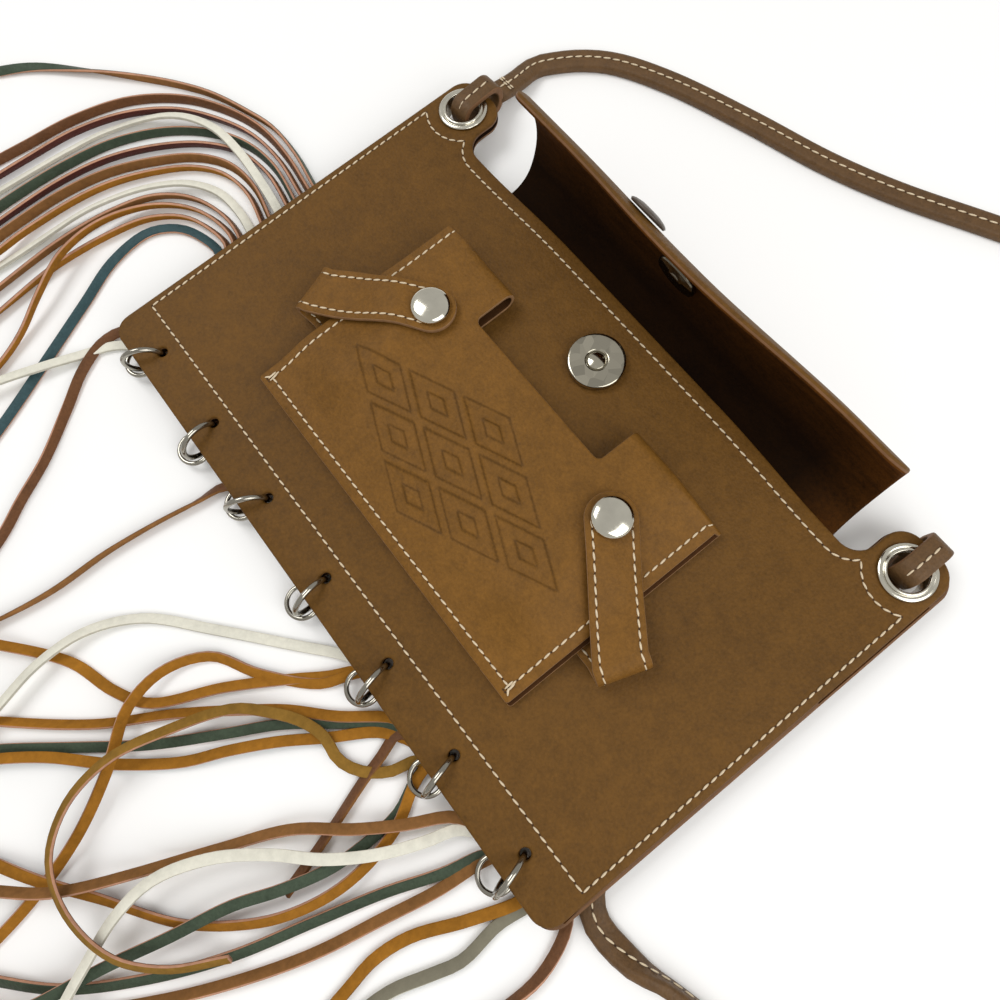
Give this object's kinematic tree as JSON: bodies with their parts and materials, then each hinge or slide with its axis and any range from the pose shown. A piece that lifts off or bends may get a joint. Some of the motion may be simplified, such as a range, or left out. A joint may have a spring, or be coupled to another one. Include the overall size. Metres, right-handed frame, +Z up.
{
  "type": "fringe crossbody bag",
  "caption": "Leather crossbody bag lying open on its back, with a snap-tab card holder, a fringe of leather thongs on rings and a long strap.",
  "frame": {"origin": "on the floor, under the middle of the whole object's box, strap and fringe included", "axes": "+X along the bag's width to its right, +Y from the ring edge to the mouth, +Z up"},
  "size_m": [0.6066, 0.4492, 0.049],
  "materials": {
    "leather": "tan-brown grained leather, waxed",
    "back_leather": "tan-brown leather with a dark suede inner face",
    "thong_leather": "leather thongs of mixed colours, suede on one face",
    "strap_leather": "dark brown leather with burnished edges",
    "nickel": "polished nickel plate"
  },
  "bodies": {
    "root": {"front_panel": "leather", "back_panel_flap": "back_leather", "card_holder": "leather", "tab_left": "leather", "tab_right": "leather", "snap_cap_left": "nickel", "snap_cap_right": "nickel", "grommet_left": "nickel", "grommet_right": "nickel", "magnet_socket": "nickel", "flap_magnet": "nickel", "flap_stud": "nickel", "panel_ring_1": "nickel", "panel_ring_2": "nickel", "panel_ring_3": "nickel", "panel_ring_4": "nickel", "panel_ring_5": "nickel", "panel_ring_6": "nickel", "panel_ring_7": "nickel", "link_ring_1": "nickel", "link_ring_2": "nickel", "link_ring_3": "nickel", "link_ring_4": "nickel", "link_ring_5": "nickel", "link_ring_6": "nickel", "link_ring_7": "nickel", "fringe_1": "thong_leather", "fringe_2": "thong_leather", "fringe_3": "thong_leather", "fringe_4": "thong_leather", "fringe_5": "thong_leather", "fringe_6": "thong_leather", "fringe_7": "thong_leather", "strap": "strap_leather"}
  },
  "joints": []
}
